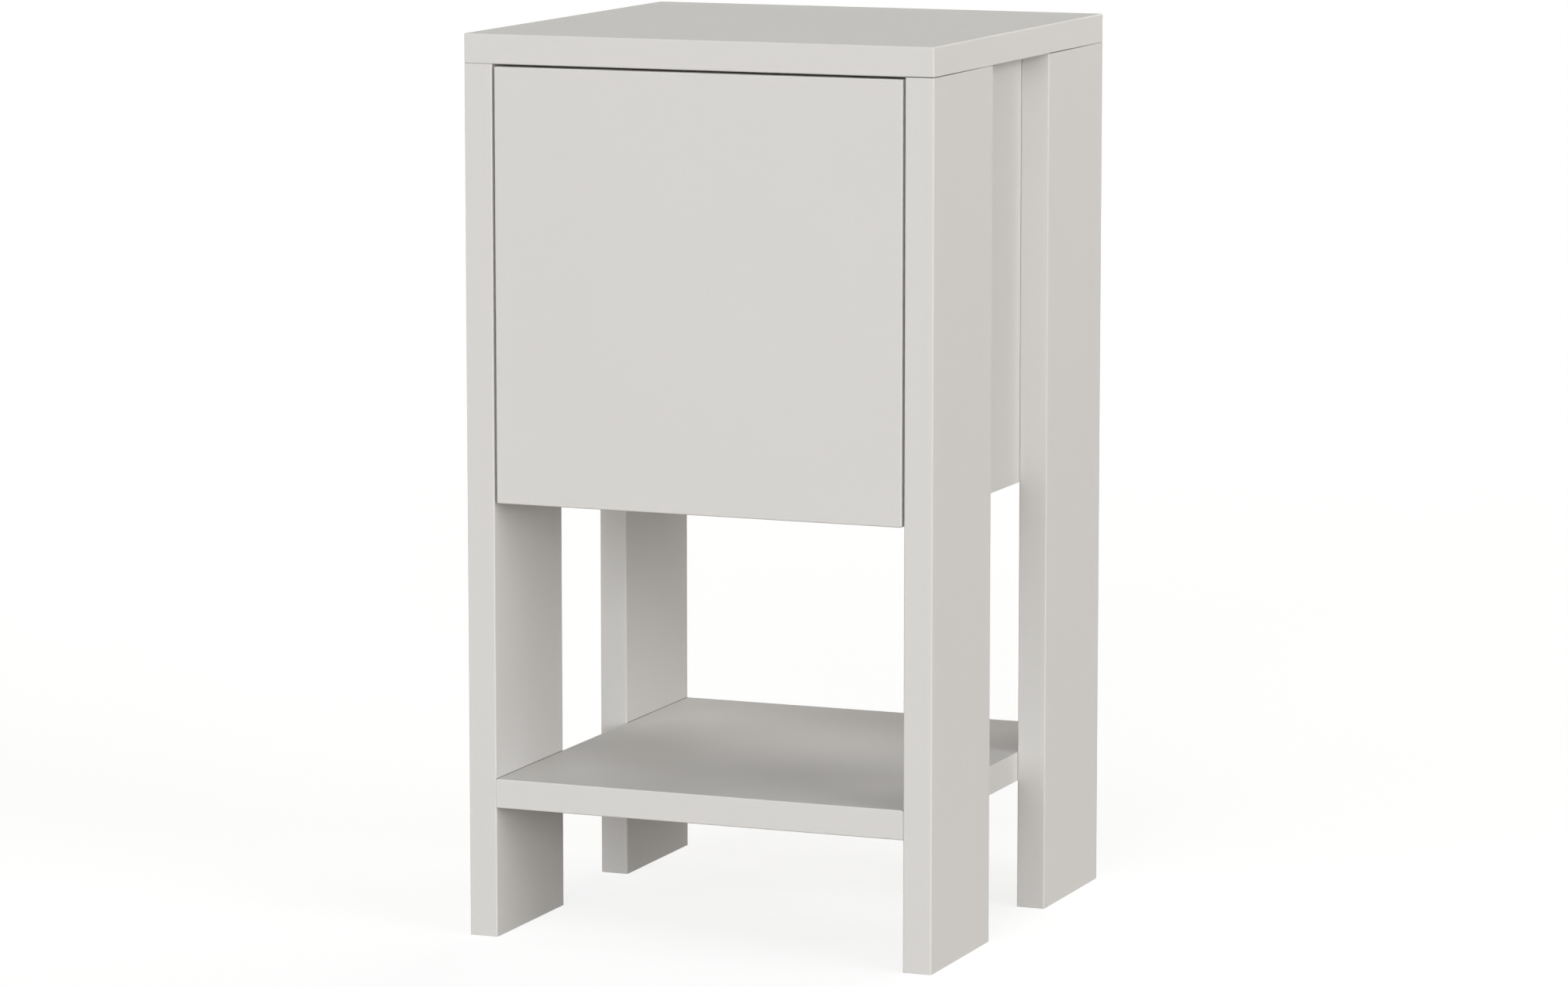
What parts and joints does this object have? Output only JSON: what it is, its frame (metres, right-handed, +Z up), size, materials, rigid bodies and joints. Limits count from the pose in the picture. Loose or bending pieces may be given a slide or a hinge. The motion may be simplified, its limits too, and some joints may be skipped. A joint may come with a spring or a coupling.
{
  "type": "nightstand",
  "caption": "Slim square nightstand with flat slab legs, a small cupboard behind one handle-less push-open door under a flat top, and an open shelf near the floor.",
  "frame": {"origin": "centre of the footprint, on the floor", "axes": "+Z up, +X to the right seen from the door's side, -Y out of the door's front face"},
  "size_m": [0.3, 0.3, 0.55],
  "materials": {
    "board": "matt greige melamine on board",
    "edge_band": "matt greige edge band",
    "hardboard": "thin painted hardboard",
    "nickel_steel": "nickel-plated sheet steel",
    "pin_steel": "bare steel",
    "zinc_screw": "zinc-plated",
    "dowel": "bare beech",
    "latch_plastic": "grey moulded plastic"
  },
  "bodies": {
    "cabinet": {"top_panel": "board", "front_left_leg": "board", "front_right_leg": "board", "rear_left_leg": "board", "rear_right_leg": "board", "left_side_panel": "board", "right_side_panel": "board", "bottom_panel": "board", "lower_shelf": "board", "top_edge_bands": "edge_band", "leg_edge_bands": "edge_band", "side_edge_bands": "edge_band", "bottom_edge_band": "edge_band", "shelf_edge_bands": "edge_band", "back_panel": "hardboard", "lower_hinge_arm": "nickel_steel", "upper_hinge_arm": "nickel_steel", "lower_hinge_plate": "nickel_steel", "upper_hinge_plate": "nickel_steel", "lower_hinge_arm_pin": "pin_steel", "upper_hinge_arm_pin": "pin_steel", "latch_spring": "pin_steel", "floor_screws": "zinc_screw", "leg_screws": "zinc_screw", "hinge_arm_screws": "zinc_screw", "hinge_plate_screws": "zinc_screw", "latch_screws": "zinc_screw", "top_cams": "zinc_screw", "shelf_cams": "zinc_screw", "top_cam_bolts": "zinc_screw", "shelf_cam_bolts": "zinc_screw", "top_dowels": "dowel", "shelf_dowels": "dowel", "latch_housing": "latch_plastic"},
    "claws": {"lower_hinge_claw": "nickel_steel", "upper_hinge_claw": "nickel_steel"},
    "door": {"door": "board", "door_edge_bands": "edge_band", "lower_hinge_cup": "nickel_steel", "upper_hinge_cup": "nickel_steel", "lower_hinge_cup_pin": "pin_steel", "upper_hinge_cup_pin": "pin_steel", "hinge_cup_screws": "zinc_screw", "latch_strike": "pin_steel"},
    "plunger": {"latch_plunger": "latch_plastic", "latch_magnet": "pin_steel"}
  },
  "joints": [
    {"name": "claw_turn", "type": "hinge", "parent": "cabinet", "child": "claws", "pos_m": [-0.102, -0.116, 0.39875], "axis": [0, 0, 1], "range_deg": [0, 30.4]},
    {"name": "door_swing", "type": "hinge", "parent": "claws", "child": "door", "pos_m": [-0.1215, -0.1385, 0.39875], "axis": [0, 0, -1], "range_deg": [0, 125.4]},
    {"name": "plunger_travel", "type": "slide", "parent": "cabinet", "child": "plunger", "axis": [0, -1, 0], "range_m": [0, 0.014]}
  ],
  "couplings": [
    {"joint": "claw_turn", "follows": "door_swing", "ratio": 0.24242},
    {"joint": "plunger_travel", "follows": "door_swing", "m_per_rad": 0.0063967}
  ]
}
